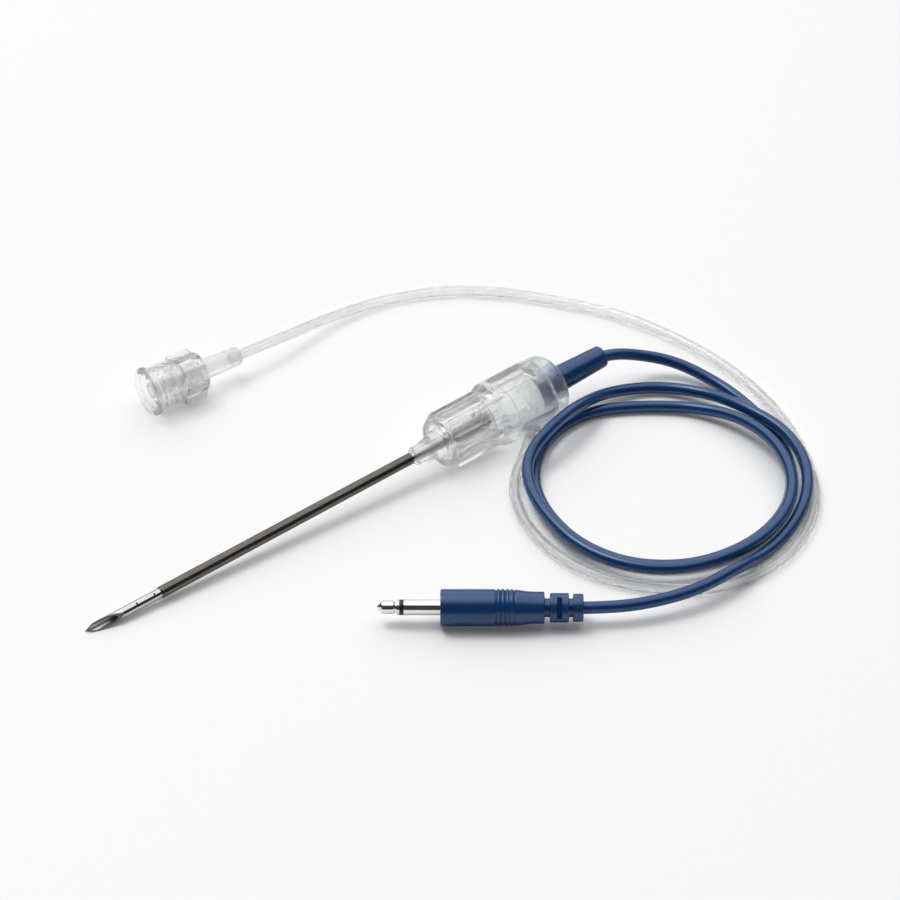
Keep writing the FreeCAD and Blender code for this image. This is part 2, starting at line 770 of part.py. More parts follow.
def laid(piece, end_point, next_point, seat):
    """Turns a piece that was drawn along X so that its axis runs on into its cord."""
    end = FreeCAD.Vector(*end_point)
    ahead = (FreeCAD.Vector(*next_point) - end).normalize()
    yaw = math.degrees(math.atan2(ahead.y, ahead.x))
    piece.Placement = FreeCAD.Placement(end - ahead * seat.value, FreeCAD.Rotation(yaw, 0, 0))
    PIECES.append(piece)


def make_luer_body():
    body = new_body("luer_body")
    cone_start = S.cone_setback
    flange_rear = neck_front - S.spin_gap
    flange_start = flange_rear - S.neck_flange_width
    cone_root = S.cone_radius + (flange_start - cone_start) * S.cone_taper / 2
    points = [
        (cone_start, S.cone_bore),
        (cone_start, S.cone_radius),
        (flange_start, cone_root),
        (flange_start, S.neck_flange),
        (flange_rear, S.neck_flange),
        (flange_rear, S.neck_radius),
        (ring_front, S.neck_radius),
        (ring_front, S.ring_radius),
        (ring_rear, S.ring_radius),
        (ring_rear, S.socket_radius),
        (socket_end, S.socket_radius),
        (socket_end, tube_bore),
        (socket_end - S.tube_seat, tube_bore),
        (socket_end - S.tube_seat, S.cone_bore),
    ]
    turned(body, points)
    laid(body, TUBE_ROUTE[0], TUBE_ROUTE[1], socket_end - S.tube_seat)


def make_luer_lock_collar():
    body = new_body("luer_lock_collar")
    hole = S.neck_radius + S.spin_gap
    hold = S.neck_flange + S.spin_gap
    points = [
        (0, S.luer_thread),
        (0, S.luer_lip),
        (S.luer_lip_width, S.luer_lip),
        (S.luer_lip_width, S.luer_skirt),
        (S.luer_cup, S.luer_skirt),
        (S.luer_collar_end, S.luer_tail),
        (S.luer_collar_end, hole),
        (neck_front, hole),
        (neck_front, hold),
        (S.luer_cup, hold),
        (S.luer_cup, S.luer_thread),
    ]
    turned(body, points)
    wing_end = S.luer_collar_end - S.wing_tail
    inside = (S.luer_tail + hole) / 2
    low = (S.luer_thread + S.luer_skirt) / 2
    outline = [
        (S.wing_start, low),
        (S.luer_cup, low),
        (wing_end, inside),
        (wing_end, S.luer_tail),
        (S.wing_start + S.wing_crest, S.wing_reach),
        (S.wing_start + S.wing_edge, S.wing_reach),
        (S.wing_start, S.luer_skirt),
    ]
    spread_round(body, rib(body, outline, S.wing_width, S.wing_roll), S.wing_count)
    laid(body, TUBE_ROUTE[0], TUBE_ROUTE[1], socket_end - S.tube_seat)


# The plug: a turned tip on a rod, its insulator, the contact sleeve and a moulded housing

tip_end = S.jack_nose_length + S.jack_groove + S.jack_ring
housing_front = S.jack_length
grip_end = housing_front + S.plug_grip
neck_end = housing_front + S.plug_grip_end
segment_front = neck_end + S.plug_gap
segment_end = segment_front + S.segment_length
last_front = segment_end + S.last_gap
plug_end = last_front + S.last_segment
plug_seat = plug_end - S.cable_seat
rod_end = housing_front + S.rod_reach
cup_front = housing_front + S.sleeve_reach + S.seat_room
cup_end = cup_front + S.cup_length


def in_plug(piece):
    laid(piece, LEAD_ROUTE[-1], LEAD_ROUTE[-2], plug_seat)


def make_plug_tip():
    body = new_body("plug_tip")
    points = [
        (0, 0),
        (0, S.jack_point),
        (S.jack_cone, S.jack_nose),
        (S.jack_nose_length - S.jack_back, S.jack_nose),
        (S.jack_nose_length, S.jack_waist),
        (S.jack_nose_length + S.jack_groove, S.jack_waist),
        (S.jack_nose_length + S.jack_groove, S.jack_radius - S.glue_gap),
        (tip_end, S.jack_radius - S.glue_gap),
        (tip_end, S.rod_radius),
        (rod_end, S.rod_radius),
        (rod_end, 0),
    ]
    turned(body, points)
    in_plug(body)


def make_plug_insulator():
    body = new_body("plug_insulator")
    front = tip_end + S.glue_gap
    ring_end = tip_end + S.insulator_ring
    bore = S.rod_radius + S.glue_gap
    rear = housing_front + S.sleeve_reach
    points = [
        (front, bore),
        (front, S.jack_radius),
        (ring_end, S.jack_radius),
        (ring_end, S.insulator_outer),
        (rear, S.insulator_outer),
        (rear, bore),
    ]
    turned(body, points)
    in_plug(body)


def make_plug_sleeve():
    body = new_body("plug_sleeve")
    front = tip_end + S.insulator_ring + S.glue_gap
    inner = S.insulator_outer + S.glue_gap
    rear = housing_front + S.sleeve_reach
    flange = rear - S.sleeve_flange_width
    points = [
        (front, inner),
        (front, S.jack_radius),
        (housing_front, S.jack_radius),
        (housing_front, S.sleeve_root),
        (flange, S.sleeve_root),
        (flange, S.sleeve_flange),
        (rear, S.sleeve_flange),
        (rear, inner),
    ]
    turned(body, points)
    in_plug(body)


def make_plug_solder_cup():
    body = new_body("plug_solder_cup")
    points = [
        (cup_front, S.rod_radius + S.glue_gap),
        (cup_front, S.cup_radius),
        (cup_end, S.cup_radius),
        (cup_end, S.wire_radius + S.glue_gap),
        (rod_end + S.glue_gap, S.wire_radius + S.glue_gap),
        (rod_end + S.glue_gap, S.rod_radius + S.glue_gap),
    ]
    turned(body, points)
    in_plug(body)


def make_plug_conductor():
    body = new_body("plug_conductor")
    front = rod_end + S.glue_gap
    turned(body, [(front, 0), (plug_seat, 0), (plug_seat, S.wire_radius), (front, S.wire_radius)])
    in_plug(body)


def make_plug_housing():
    body = new_body("plug_housing")
    flange = housing_front + S.sleeve_reach - S.sleeve_flange_width - S.glue_gap
    room_end = cup_end + S.seat_room
    outline = [
        (housing_front, S.sleeve_root + S.glue_gap),
        (housing_front, S.plug_radius),
        (grip_end - S.plug_taper, S.plug_radius),
        (grip_end, S.plug_neck),
        (neck_end, S.plug_neck),
        (neck_end, S.plug_core),
        (segment_front, S.plug_core),
        (segment_front, S.segment_radius),
        (segment_end, S.segment_radius),
        (segment_end, S.plug_core),
        (last_front, S.plug_core),
        (last_front, S.last_radius),
        (plug_end, S.last_radius),
        (plug_end, cable_bore),
        (plug_seat, cable_bore),
        (plug_seat, wire_bore),
        (room_end, wire_bore),
        (room_end, S.sleeve_flange + S.glue_gap),
        (flange, S.sleeve_flange + S.glue_gap),
        (flange, S.sleeve_root + S.glue_gap),
    ]
    turned(body, outline)
    middle = (segment_front + segment_end) / 2
    for side in (as_size(1.0), as_size(-1.0)):
        slot = [
            (middle - S.slot_width / 2, S.plug_core * side),
            (middle + S.slot_width / 2, S.plug_core * side),
            (middle + S.slot_width / 2, S.slot_height * side),
            (middle - S.slot_width / 2, S.slot_height * side),
        ]
        cut_through(body, slot, "XY")
    in_plug(body)


make_cannula()
make_shaft_insulation()
make_hub_nose()
make_hub_shell()
make_flow_block()
make_contact_sleeve()
make_lead_conductor()
make_rear_cap()
make_strain_relief()
make_cord("lead_cable", LEAD_ROUTE, S.cable_radius)
make_cord("extension_tube", TUBE_ROUTE, S.tube_radius)
make_luer_body()
make_luer_lock_collar()
make_plug_tip()
make_plug_insulator()
make_plug_sleeve()
make_plug_solder_cup()
make_plug_conductor()
make_plug_housing()

doc.recompute()

LEAD_STRAIGHT = 7.5
PORT_STRAIGHT = 8.5

needle_place = PIECES[0].Placement
lead_ahead = (LEAD_STRAIGHT, 0.0, 0.0)
port_outward = tuple(
    -PORT_STRAIGHT * share for share in (
        of_angle("cos", S.port_angle).value, of_angle("sin", S.port_angle).value, 0.0)
)
for label, start, run in (
    ("the lead starts", (cable_start, ZERO, ZERO), lead_ahead),
    ("the tube ends", seat_place, port_outward),
):
    for share in (0, 1):
        local = FreeCAD.Vector(*[s.value + r * share for s, r in zip(start, run)])
        print(label, "on its seat's axis at %.2f %.2f %.2f" % tuple(needle_place.multVec(local)))

# Every object is sound before anything is written

for item in doc.Objects:
    if "Invalid" in item.State or "Error" in item.State:
        raise ValueError("%s is not sound: %s" % (item.Name, item.State))
for piece in PIECES:
    if piece.Shape.isNull() or not piece.Shape.isValid():
        raise ValueError("%s has no valid shape" % piece.Label)
    if len(piece.Shape.Solids) != 1:
        raise ValueError("%s has %d solids" % (piece.Label, len(piece.Shape.Solids)))

os.makedirs("parts", exist_ok=True)
for piece in PIECES:
    piece.Shape.exportStep("parts/%s.step" % piece.Label)
    box = piece.Shape.BoundBox
    print("%-18s %9.1f mm3, z %.2f to %.2f" % (piece.Label, piece.Shape.Volume, box.ZMin, box.ZMax))
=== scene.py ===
# %% [markdown]
# # A nerve stimulation needle on a white table
#
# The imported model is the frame: it holds every rigid piece at its real size and place. This script
# loads it, dresses each piece with a finer surface and its material, and lays the two soft cords.

# %% Load the frame
import json
import math

import bmesh
import bpy
from mathutils import Matrix, Vector


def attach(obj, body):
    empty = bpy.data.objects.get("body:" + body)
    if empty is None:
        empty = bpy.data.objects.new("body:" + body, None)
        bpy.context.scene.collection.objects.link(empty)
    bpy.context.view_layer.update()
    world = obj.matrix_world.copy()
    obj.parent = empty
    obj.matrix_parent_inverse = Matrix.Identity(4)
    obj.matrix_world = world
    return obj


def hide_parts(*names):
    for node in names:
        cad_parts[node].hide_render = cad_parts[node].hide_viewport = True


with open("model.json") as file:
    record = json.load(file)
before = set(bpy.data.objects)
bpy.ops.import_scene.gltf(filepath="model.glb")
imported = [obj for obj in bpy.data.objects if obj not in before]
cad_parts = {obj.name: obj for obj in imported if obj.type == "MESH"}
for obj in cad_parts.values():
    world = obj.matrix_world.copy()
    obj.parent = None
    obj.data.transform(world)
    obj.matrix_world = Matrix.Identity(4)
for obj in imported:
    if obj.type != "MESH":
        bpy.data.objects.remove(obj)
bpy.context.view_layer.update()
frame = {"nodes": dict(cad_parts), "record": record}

# %% [markdown]
# ## Camera
#
# A long lens keeps the needle's lines nearly parallel, as in a product photograph. The camera looks
# down at a point on the table beside the hub. Its place comes from an angle round the object, an
# angle above the table and a distance, so that it is easy to read and to change.

# %% Camera
MM = 0.001
view_target = Vector((30.5, 3.5, 0.0)) * MM
view_azimuth = math.radians(-37.8365)
view_elevation = math.radians(38.0)
view_distance = 825.0 * MM
toward_camera = Vector((
    math.sin(view_azimuth) * math.cos(view_elevation),
    -math.cos(view_azimuth) * math.cos(view_elevation),
    math.sin(view_elevation),
))
camera_data = bpy.data.cameras.new("camera")
camera_data.sensor_width = 36.0
camera_data.lens = 140.0
camera_data.clip_end = 20.0
camera = bpy.data.objects.new("camera", camera_data)
camera.location = view_target + toward_camera * view_distance
camera.rotation_euler = toward_camera.to_track_quat("Z", "Y").to_euler()
bpy.context.scene.collection.objects.link(camera)
bpy.context.scene.camera = camera
bpy.context.scene.view_settings.view_transform = "Standard"
print("camera", [round(v, 4) for v in camera.location])

# %% [markdown]
# ## Node trees
#
# Every finish below is a small tree of shader nodes. A few helpers keep them short: one starts a
# material, one adds a node with its values and links, and the others make the noise, spans, colours
# and bumps that the finishes share.

# %% Helpers for materials


def new_material(name):
    """A material with an empty tree and its output node."""
    material = bpy.data.materials.new(name)
    material.use_nodes = True
    tree = material.node_tree
    tree.nodes.clear()
    return material, tree, tree.nodes.new("ShaderNodeOutputMaterial")


def add(tree, kind, values=None, links=None, **settings):
    """A node of that kind, with socket values, links and settings."""
    node = tree.nodes.new("ShaderNode" + kind)
    for key, value in settings.items():
        setattr(node, key, value)
    for key, value in (values or {}).items():
        node.inputs[key].default_value = value
    for key, source in (links or {}).items():
        tree.links.new(source, node.inputs[key])
    return node


def grain(tree, scale, detail=3.0, stretch=(1.0, 1.0, 1.0)):
    """Fine noise on the piece's own coordinates, in marks per metre."""
    place = add(tree, "TexCoord")
    turned = add(tree, "Mapping", {"Scale": stretch}, {"Vector": place.outputs["Object"]})
    return add(tree, "TexNoise", {"Scale": scale, "Detail": detail}, {"Vector": turned.outputs["Vector"]})


def spread(tree, source, low, high, from_low=0.3, from_high=0.7):
    """Maps a value to a narrow span, such as roughness that varies a little."""
    return add(
        tree, "MapRange",
        {"From Min": from_low, "From Max": from_high, "To Min": low, "To Max": high},
        {"Value": source},
    ).outputs["Result"]


def tint(tree, source, dark, light):
    """Two colours mixed by a value."""
    ramp = add(tree, "ValToRGB", links={"Fac": source})
    ramp.color_ramp.elements[0].position = 0.3
    ramp.color_ramp.elements[0].color = (*dark, 1.0)
    ramp.color_ramp.elements[1].position = 0.7
    ramp.color_ramp.elements[1].color = (*light, 1.0)
    return ramp.outputs["Color"]


def bump(tree, height, strength, distance):
    """A normal that follows a height, with the height's real size in metres."""
    return add(
        tree, "Bump", {"Strength": strength, "Distance": distance}, {"Height": height}
    ).outputs["Normal"]


# %% [markdown]
# ## Metals
#
# The plug and the contact are polished, so their look is mostly what they mirror. Fine noise moves
# the roughness and the normal a little. On the shaft and the wire it is stretched along the axis, as
# draw marks are. The insulation on the shaft is a thin dark lacquer over bright steel, so it is
# nearly a dark metal, with only a small share of plain plastic.

# %% Metals and the lacquer over metal
mark_strength = 0.15
mark_depth = 0.02 * MM


def metal(name, dark, light, rough, mark_scale, stretch=(1.0, 1.0, 1.0), share=1.0):
    """A metal with fine marks; share is how much of it is metal."""
    material, tree, output = new_material(name)
    marks = grain(tree, mark_scale, 4.0, stretch)
    shader = add(
        tree, "BsdfPrincipled", {"Metallic": share},
        {
            "Base Color": tint(tree, marks.outputs["Fac"], dark, light),
            "Roughness": spread(tree, marks.outputs["Fac"], rough * 0.7, rough * 1.4),
            "Normal": bump(tree, marks.outputs["Fac"], mark_strength, mark_depth),
        },
    )
    tree.links.new(shader.outputs["BSDF"], output.inputs["Surface"])
    return material


nickel = metal(
    "nickel_plate", dark=(0.80, 0.78, 0.74), light=(0.90, 0.88, 0.84), rough=0.04, mark_scale=500.0,
)
contact_metal = metal(
    "contact_metal", dark=(0.46, 0.455, 0.44), light=(0.57, 0.565, 0.55), rough=0.06, mark_scale=800.0,
)
lacquer = metal(
    "shaft_lacquer", dark=(0.108, 0.101, 0.087), light=(0.158, 0.148, 0.129),
    rough=0.12, mark_scale=1500.0, stretch=(0.2, 1.0, 1.0), share=0.85,
)
tinned_wire = metal(
    "tinned_wire", dark=(0.62, 0.61, 0.58), light=(0.74, 0.73, 0.70),
    rough=0.25, mark_scale=900.0, stretch=(0.3, 2.0, 2.0),
)
print("metals", nickel.name, contact_metal.name, lacquer.name, tinned_wire.name)

# %% [markdown]
# ## Opaque plastics
#
# The lead, its sleeve and the plug are one blue vinyl. It is satin, with a very fine skin, small
# differences of tone and a shine that is a little blue. The plug's ring is a plain black plastic.

# %% Vinyl and the black ring
tone_scale_share = 0.12
skin_strength = 0.12
skin_depth = 0.01 * MM


def plastic(name, dark, light, rough, skin_scale, shine=0.5, shine_tone=(1.0, 1.0, 1.0)):
    """An opaque plastic with a fine skin; shine is the strength of its reflection."""
    material, tree, output = new_material(name)
    tone = grain(tree, skin_scale * tone_scale_share, 2.0)
    skin = grain(tree, skin_scale, 4.0)
    shader = add(
        tree, "BsdfPrincipled",
        {"IOR": 1.5, "Specular IOR Level": shine, "Specular Tint": (*shine_tone, 1.0)},
        {
            "Base Color": tint(tree, tone.outputs["Fac"], dark, light),
            "Roughness": spread(tree, skin.outputs["Fac"], rough * 0.85, rough * 1.15),
            "Normal": bump(tree, skin.outputs["Fac"], skin_strength, skin_depth),
        },
    )
    tree.links.new(shader.outputs["BSDF"], output.inputs["Surface"])
    return material


vinyl = plastic(
    "blue_vinyl", dark=(0.001, 0.036, 0.148), light=(0.0016, 0.044, 0.172),
    rough=0.29, skin_scale=6000.0, shine=0.85, shine_tone=(0.70, 0.85, 1.0),
)
black_ring = plastic(
    "black_ring", dark=(0.006, 0.006, 0.0065), light=(0.012, 0.012, 0.0125), rough=0.3, skin_scale=3000.0,
)
print("plastics", vinyl.name, black_ring.name)

# %% [markdown]
# ## Clear plastics
#
# The hub, the luer fitting and the tube are clear mouldings. A pure glass shader turns dark where
# many walls lie behind each other, but the real plastic scatters a little light and stays pale. So
# each is glass with a share of straight-through light and a share of soft white scatter. The moulding
# itself has slow waves, and its skin a fine unevenness.

# %% Clear and milky plastic
wave_scale = 150.0
wave_strength = 0.5
clear_skin_scale = 1800.0
scatter_tone = (0.93, 0.94, 0.95, 1.0)


def clear_plastic(name, tone, rough, through, scatter, wave, index, lit, coat=0.0):
    """Glass mixed with straight light and white scatter; lit is what passes on to the shadow."""
    material, tree, output = new_material(name)
    flow = grain(tree, wave_scale, 2.0)
    skin = grain(tree, clear_skin_scale, 3.0)
    normal = bump(tree, flow.outputs["Fac"], wave_strength, wave)
    glass = add(
        tree, "BsdfPrincipled",
        {"Base Color": (*tone, 1.0), "Transmission Weight": 1.0, "IOR": index, "Coat Weight": coat},
        {"Roughness": spread(tree, skin.outputs["Fac"], rough * 0.7, rough * 1.4), "Normal": normal},
    )
    straight = add(tree, "BsdfTransparent", {"Color": (*tone, 1.0)})
    ray = add(tree, "LightPath")
    passing = spread(tree, ray.outputs["Is Shadow Ray"], through, lit, 0.0, 1.0)
    first = add(tree, "MixShader", links={"Fac": passing})
    tree.links.new(glass.outputs["BSDF"], first.inputs[1])
    tree.links.new(straight.outputs["BSDF"], first.inputs[2])
    haze = add(tree, "BsdfTranslucent", {"Color": scatter_tone})
    white = add(tree, "BsdfDiffuse", {"Color": scatter_tone})
    soft = add(tree, "MixShader", {"Fac": 0.5})
    tree.links.new(haze.outputs["BSDF"], soft.inputs[1])
    tree.links.new(white.outputs["BSDF"], soft.inputs[2])
    cloud = spread(tree, flow.outputs["Fac"], scatter * 0.7, scatter * 1.3)
    second = add(tree, "MixShader", links={"Fac": cloud})
    tree.links.new(first.outputs["Shader"], second.inputs[1])
    tree.links.new(soft.outputs["Shader"], second.inputs[2])
    tree.links.new(second.outputs["Shader"], output.inputs["Surface"])
    return material


shell_clear = clear_plastic(
    "shell_clear", tone=(0.982, 0.984, 0.984), rough=0.008, through=0.12, scatter=0.03,
    wave=0.006 * MM, index=1.46, lit=0.83,
)
inner_clear = clear_plastic(
    "inner_clear", tone=(0.985, 0.986, 0.986), rough=0.02, through=0.25, scatter=0.12,
    wave=0.006 * MM, index=1.22, lit=0.92,
)
# The frosted cap's pale blue tone is painted light: it stands in for the blue of the lead's sleeve seen
# through the cap.
frosted = clear_plastic(
    "frosted_clear", tone=(0.955, 0.978, 0.995), rough=0.05, through=0.30, scatter=0.09,
    wave=0.003 * MM, index=1.34, lit=0.84, coat=1.0,
)
luer_clear = clear_plastic(
    "luer_clear", tone=(0.955, 0.956, 0.953), rough=0.008, through=0.08, scatter=0.03,
    wave=0.006 * MM, index=1.50, lit=0.74,
)
milky = clear_plastic(
    "milky_plastic", tone=(0.978, 0.978, 0.972), rough=0.04, through=0.42, scatter=0.20,
    wave=0.006 * MM, index=1.34, lit=0.76, coat=0.6,
)
tube_clear = clear_plastic(
    "tube_clear", tone=(0.962, 0.964, 0.963), rough=0.07, through=0.30, scatter=0.08,
    wave=0.0004 * MM, index=1.42, lit=0.68,
)
clear_kinds = (shell_clear, inner_clear, frosted, luer_clear, milky, tube_clear)
print("clear", [kind.name for kind in clear_kinds])

# %% [markdown]
# ## Three axes
#
# The pieces lie along three straight lines: the needle, the plug and the luer fitting. The record's
# mounts say where each line is and which way it points, so a piece can be drawn along X from its own
# zero and then put on its line. A place is a matrix that also turns millimetres into metres.

# %% Axes from the mounts
mounts = {m["name"]: m for m in frame["record"]["mounts"]}


def axis_place(mount, station):
    """The line of a mount, with zero at the free end; station is the mount's place along it in mm."""
    along = -Vector(mounts[mount]["axis"]).normalized()
    start = Vector(mounts[mount]["pos_m"]) - along * station * MM
    up = (Vector((0.0, 0.0, 1.0)) - along * along.z).normalized()
    side = up.cross(along)
    turn = Matrix((along, side, up)).transposed().to_4x4()
    return Matrix.Translation(start) @ turn @ Matrix.Scale(MM, 4)


needle_line = axis_place("needle_shaft", station=54.95)
plug_line = axis_place("jack_sleeve", station=9.17)
luer_line = axis_place("luer_cone", station=1.0)
for name, line in (("needle", needle_line), ("plug", plug_line), ("luer", luer_line)):
    print(name, "starts at", [round(v * 1000, 2) for v in line.translation])

# %% [markdown]
# ## Steel of the tube
#
# The tube is one piece of steel with three finishes. Outside it is polished in front, where it is
# used, and left matt at the root, where the hub is bonded to it. The bore is drawn and never
# polished, and the ground point is dull. The finish depends on the place along the needle and the
# distance from its axis. Two short dark marks are etched near the point, a little to one side of the
# top, and they come from the same place along the needle.

# %% Steel with its finish along the needle
needle_start = needle_line.translation
needle_along = (needle_line.to_3x3() @ Vector((1.0, 0.0, 0.0))).normalized()
ground_until = 9.4 * MM
bonded_from = 92.4 * MM
bore_within = 1.08 * MM
mark_facing = (needle_line.to_3x3() @ Vector((0.0, -0.5, 0.866))).normalized()
mark_places = (13.1 * MM, 17.8 * MM)
mark_width = 0.36 * MM
mark_reach = 1.16 * MM
mark_tone = (0.02, 0.02, 0.02, 1.0)
polished_rough = 0.09
dull_rough = 0.38


def number(tree, operation, values=None, links=None):
    """The result of one sum, product or comparison."""
    return add(tree, "Math", values, links, operation=operation).outputs["Value"]


def dot(tree, values=None, links=None):
    """The dot product of two vectors."""
    return add(tree, "VectorMath", values, links, operation="DOT_PRODUCT").outputs["Value"]


def tube_steel():
    """Steel that is polished, drawn or ground by its place on the tube, with two etched marks."""
    material, tree, output = new_material("ground_steel")
    marks = grain(tree, 900.0, 4.0, (0.15, 3.0, 3.0)).outputs["Fac"]
    place = add(tree, "TexCoord").outputs["Object"]
    reach = add(tree, "VectorMath", {1: needle_start}, {0: place}, operation="SUBTRACT").outputs["Vector"]
    along = dot(tree, {1: needle_along}, {0: reach})
    square = dot(tree, links={0: reach, 1: reach})
    along_square = number(tree, "MULTIPLY", links={0: along, 1: along})
    off_axis = number(tree, "SUBTRACT", links={0: square, 1: along_square})
    in_bore = number(tree, "LESS_THAN", {1: bore_within ** 2}, {0: off_axis})
    bonded = number(tree, "GREATER_THAN", {1: bonded_from}, {0: along})
    matt = number(tree, "MAXIMUM", links={0: in_bore, 1: bonded})
    to_mark = dot(tree, {1: mark_facing}, {0: reach})
    facing = number(tree, "GREATER_THAN", {1: mark_reach}, {0: to_mark})
    bands = [number(tree, "COMPARE", {1: spot, 2: mark_width / 2}, {0: along}) for spot in mark_places]
    both = number(tree, "ADD", links={0: bands[0], 1: bands[1]})
    etched = number(tree, "MULTIPLY", links={0: both, 1: facing})
    ground = number(tree, "LESS_THAN", {1: ground_until}, {0: along})
    dull = number(tree, "MAXIMUM", links={0: ground, 1: matt})
    polished = tint(tree, marks, (0.51, 0.505, 0.49), (0.61, 0.605, 0.59))
    drawn = tint(tree, marks, (0.50, 0.49, 0.475), (0.62, 0.61, 0.595))
    metal_tone = add(tree, "Mix", links={0: matt, 6: polished, 7: drawn}, data_type="RGBA").outputs[2]
    colour = add(tree, "Mix", {7: mark_tone}, {0: etched, 6: metal_tone}, data_type="RGBA").outputs[2]
    shader = add(
        tree, "BsdfPrincipled", {"Metallic": 1.0},
        {
            "Base Color": colour,
            "Roughness": spread(tree, dull, polished_rough, dull_rough, 0.0, 1.0),
            "Normal": bump(tree, marks, mark_strength, mark_depth),
        },
    )
    tree.links.new(shader.outputs["BSDF"], output.inputs["Surface"])
    return material


steel = tube_steel()
print("steel runs along", [round(v, 3) for v in needle_along])

# %% [markdown]
# ## Turned pieces
#
# Most pieces are round, so one helper turns a short outline about X. A corner of the outline may be
# softened: the helper cuts it back by a small distance along both sides and puts a curve there. That
# small round edge catches the light, as it does on a real moulding.

# %% Helpers for turned pieces
corner_steps = 5
corner_share = 0.49
join_within = 1e-7


def soften(outline):
    """Replaces each corner (x, r, cut) of a closed outline by a short curve; a cut of 0 stays sharp."""
    points = []
    count = len(outline)
    for i, (x, r, cut) in enumerate(outline):
        corner = Vector((x, r))
        before = Vector(outline[i - 1][:2]) - corner
        after = Vector(outline[(i + 1) % count][:2]) - corner
        cut = min(cut, before.length * corner_share, after.length * corner_share)
        if cut < 1e-4:
            points.append(corner)
            continue
        first = corner + before.normalized() * cut
        last = corner + after.normalized() * cut
        for step in range(corner_steps + 1):
            t = step / corner_steps
            points.append(first * (1 - t) ** 2 + corner * 2 * t * (1 - t) + last * t * t)
    return points


def mesh_piece(name, build, material, body="needle_set", sharp=40.0):
    """Runs build on an empty mesh, closes it, points its faces outward and gives it its material."""
    mesh = bpy.data.meshes.new(name)
    work = bmesh.new()
    build(work)
    bmesh.ops.remove_doubles(work, verts=work.verts, dist=join_within)
    bmesh.ops.recalc_face_normals(work, faces=work.faces)
    work.to_mesh(mesh)
    work.free()
    mesh.shade_smooth()
    mesh.set_sharp_from_angle(angle=math.radians(sharp))
    mesh.materials.append(material)
    piece = bpy.data.objects.new(name, mesh)
    bpy.context.scene.collection.objects.link(piece)
    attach(piece, body)
    return piece


def fine(points, pitch):
    """Adds points on the long sides of an outline."""
    result = []
    for i, point in enumerate(points):
        after = points[(i + 1) % len(points)]
        count = max(int((after - point).length / pitch), 1)
        result.extend(point.lerp(after, k / count) for k in range(count))
    return result


def turned(name, outline, place, material, body="needle_set", steps=96, shape=None, pitch=None, sharp=40.0):
    """A closed outline turned about X. shape(x, r, angle) may change the radius of a point."""
    points = soften(outline)
    if pitch:
        points = fine(points, pitch)

    def build(work):
        rings = []
        for x, r in points:
            ring = []
            for step in range(steps):
                angle = 2 * math.pi * step / steps
                reach = shape(x, r, angle) if shape else r
                spot = Vector((x, reach * math.cos(angle), reach * math.sin(angle)))
                ring.append(work.verts.new(place @ spot))
            rings.append(ring)
        for i, ring in enumerate(rings):
            after = rings[(i + 1) % len(rings)]
            if points[i].y < 1e-6 and points[(i + 1) % len(points)].y < 1e-6:
                continue
            for step in range(steps):
                nxt = (step + 1) % steps
                work.faces.new((ring[step], ring[nxt], after[nxt], after[step]))
        bmesh.ops.remove_doubles(work, verts=work.verts, dist=join_within)
        bmesh.ops.dissolve_degenerate(work, dist=1e-8, edges=work.edges)

    return mesh_piece(name, build, material, body, sharp)


# %% [markdown]
# ## The two cords
#
# The lead and the tube are soft and lie in loose loops. Each is one smooth curve through space: a
# NURBS spline along the route of the tube in the model, with a few points moved by a millimetre or
# two, and a round section. The lead leaves its sleeve, falls to the table, goes round and over
# itself and ends in the plug.

# %% Cord routes in millimetres
LEAD_ROUTE = [
    (70.65, 0.0, 9.83), (75.44, 0.0, 10.12), (86.4, -2.2, 5.7), (92.6, -7.8, 3.65), (96.6, -19.0, 1.5),
    (96.0, -29.6, 1.5), (93.9, -41.8, 1.5), (88.1, -52.5, 1.5), (79.6, -61.4, 1.5), (68.5, -66.4, 1.5),
    (56.5, -67.3, 1.5), (45.0, -64.2, 1.5), (35.6, -56.1, 1.5), (31.2, -44.6, 1.5), (31.8, -32.6, 1.5),
    (35.6, -21.6, 1.5), (43.4, -12.7, 1.5), (54.0, -6.8, 1.5), (66.0, -6.8, 1.5), (76.4, -12.9, 1.5),
    (85.4, -21.0, 1.8), (89.3, -32.0, 4.0), (89.2, -44.0, 5.0), (85.1, -55.5, 4.8), (77.0, -64.4, 4.6),
    (66.0, -69.3, 4.1), (54.0, -69.8, 3.8), (42.0, -66.7, 3.8), (33.1, -58.6, 3.8), (28.7, -47.1, 3.9),
    (29.2, -35.1, 4.3), (32.3, -23.6, 4.9), (39.4, -14.2, 5.2), (49.3, -11.7, 8.1), (60.3, -8.6, 7.2),
    (73.0, -4.4, 2.4), (83.9, -9.0, 1.6), (90.6, -19.0, 2.6), (91.8, -30.5, 5.0), (93.7, -42.5, 5.0),
    (90.6, -54.3, 4.4), (82.8, -64.0, 3.4), (72.0, -69.7, 2.0), (61.0, -72.3, 1.6), (51.0, -74.8, 5.0),
    (40.5, -75.0, 4.8), (30.5, -72.4, 4.5), (20.6, -67.7, 4.4), (13.2, -61.9, 4.4),
]
TUBE_ROUTE = [
    (5.5, 58.1, 6.1), (14.5, 57.7, 6.1), (26.4, 58.9, 4.6), (39.4, 61.2, 2.3), (53.4, 60.2, 1.4),
    (67.4, 54.6, 1.4), (78.8, 45.1, 1.4), (87.7, 33.0, 1.4), (95.6, 20.4, 1.4), (100.0, 6.4, 1.4),
    (102.4, -8.0, 1.4), (102.3, -22.6, 1.4), (99.5, -36.8, 1.4), (93.9, -50.8, 1.4), (85.8, -63.7, 1.4),
    (74.3, -72.7, 1.4), (59.4, -76.9, 1.4), (44.5, -74.2, 1.4), (33.0, -64.6, 1.4), (25.6, -51.1, 1.4),
    (24.7, -36.5, 1.4), (28.3, -24.3, 1.4), (34.1, -15.9, 1.5), (42.18, -10.68, 3.10), (48.52, -5.06, 3.48),
]


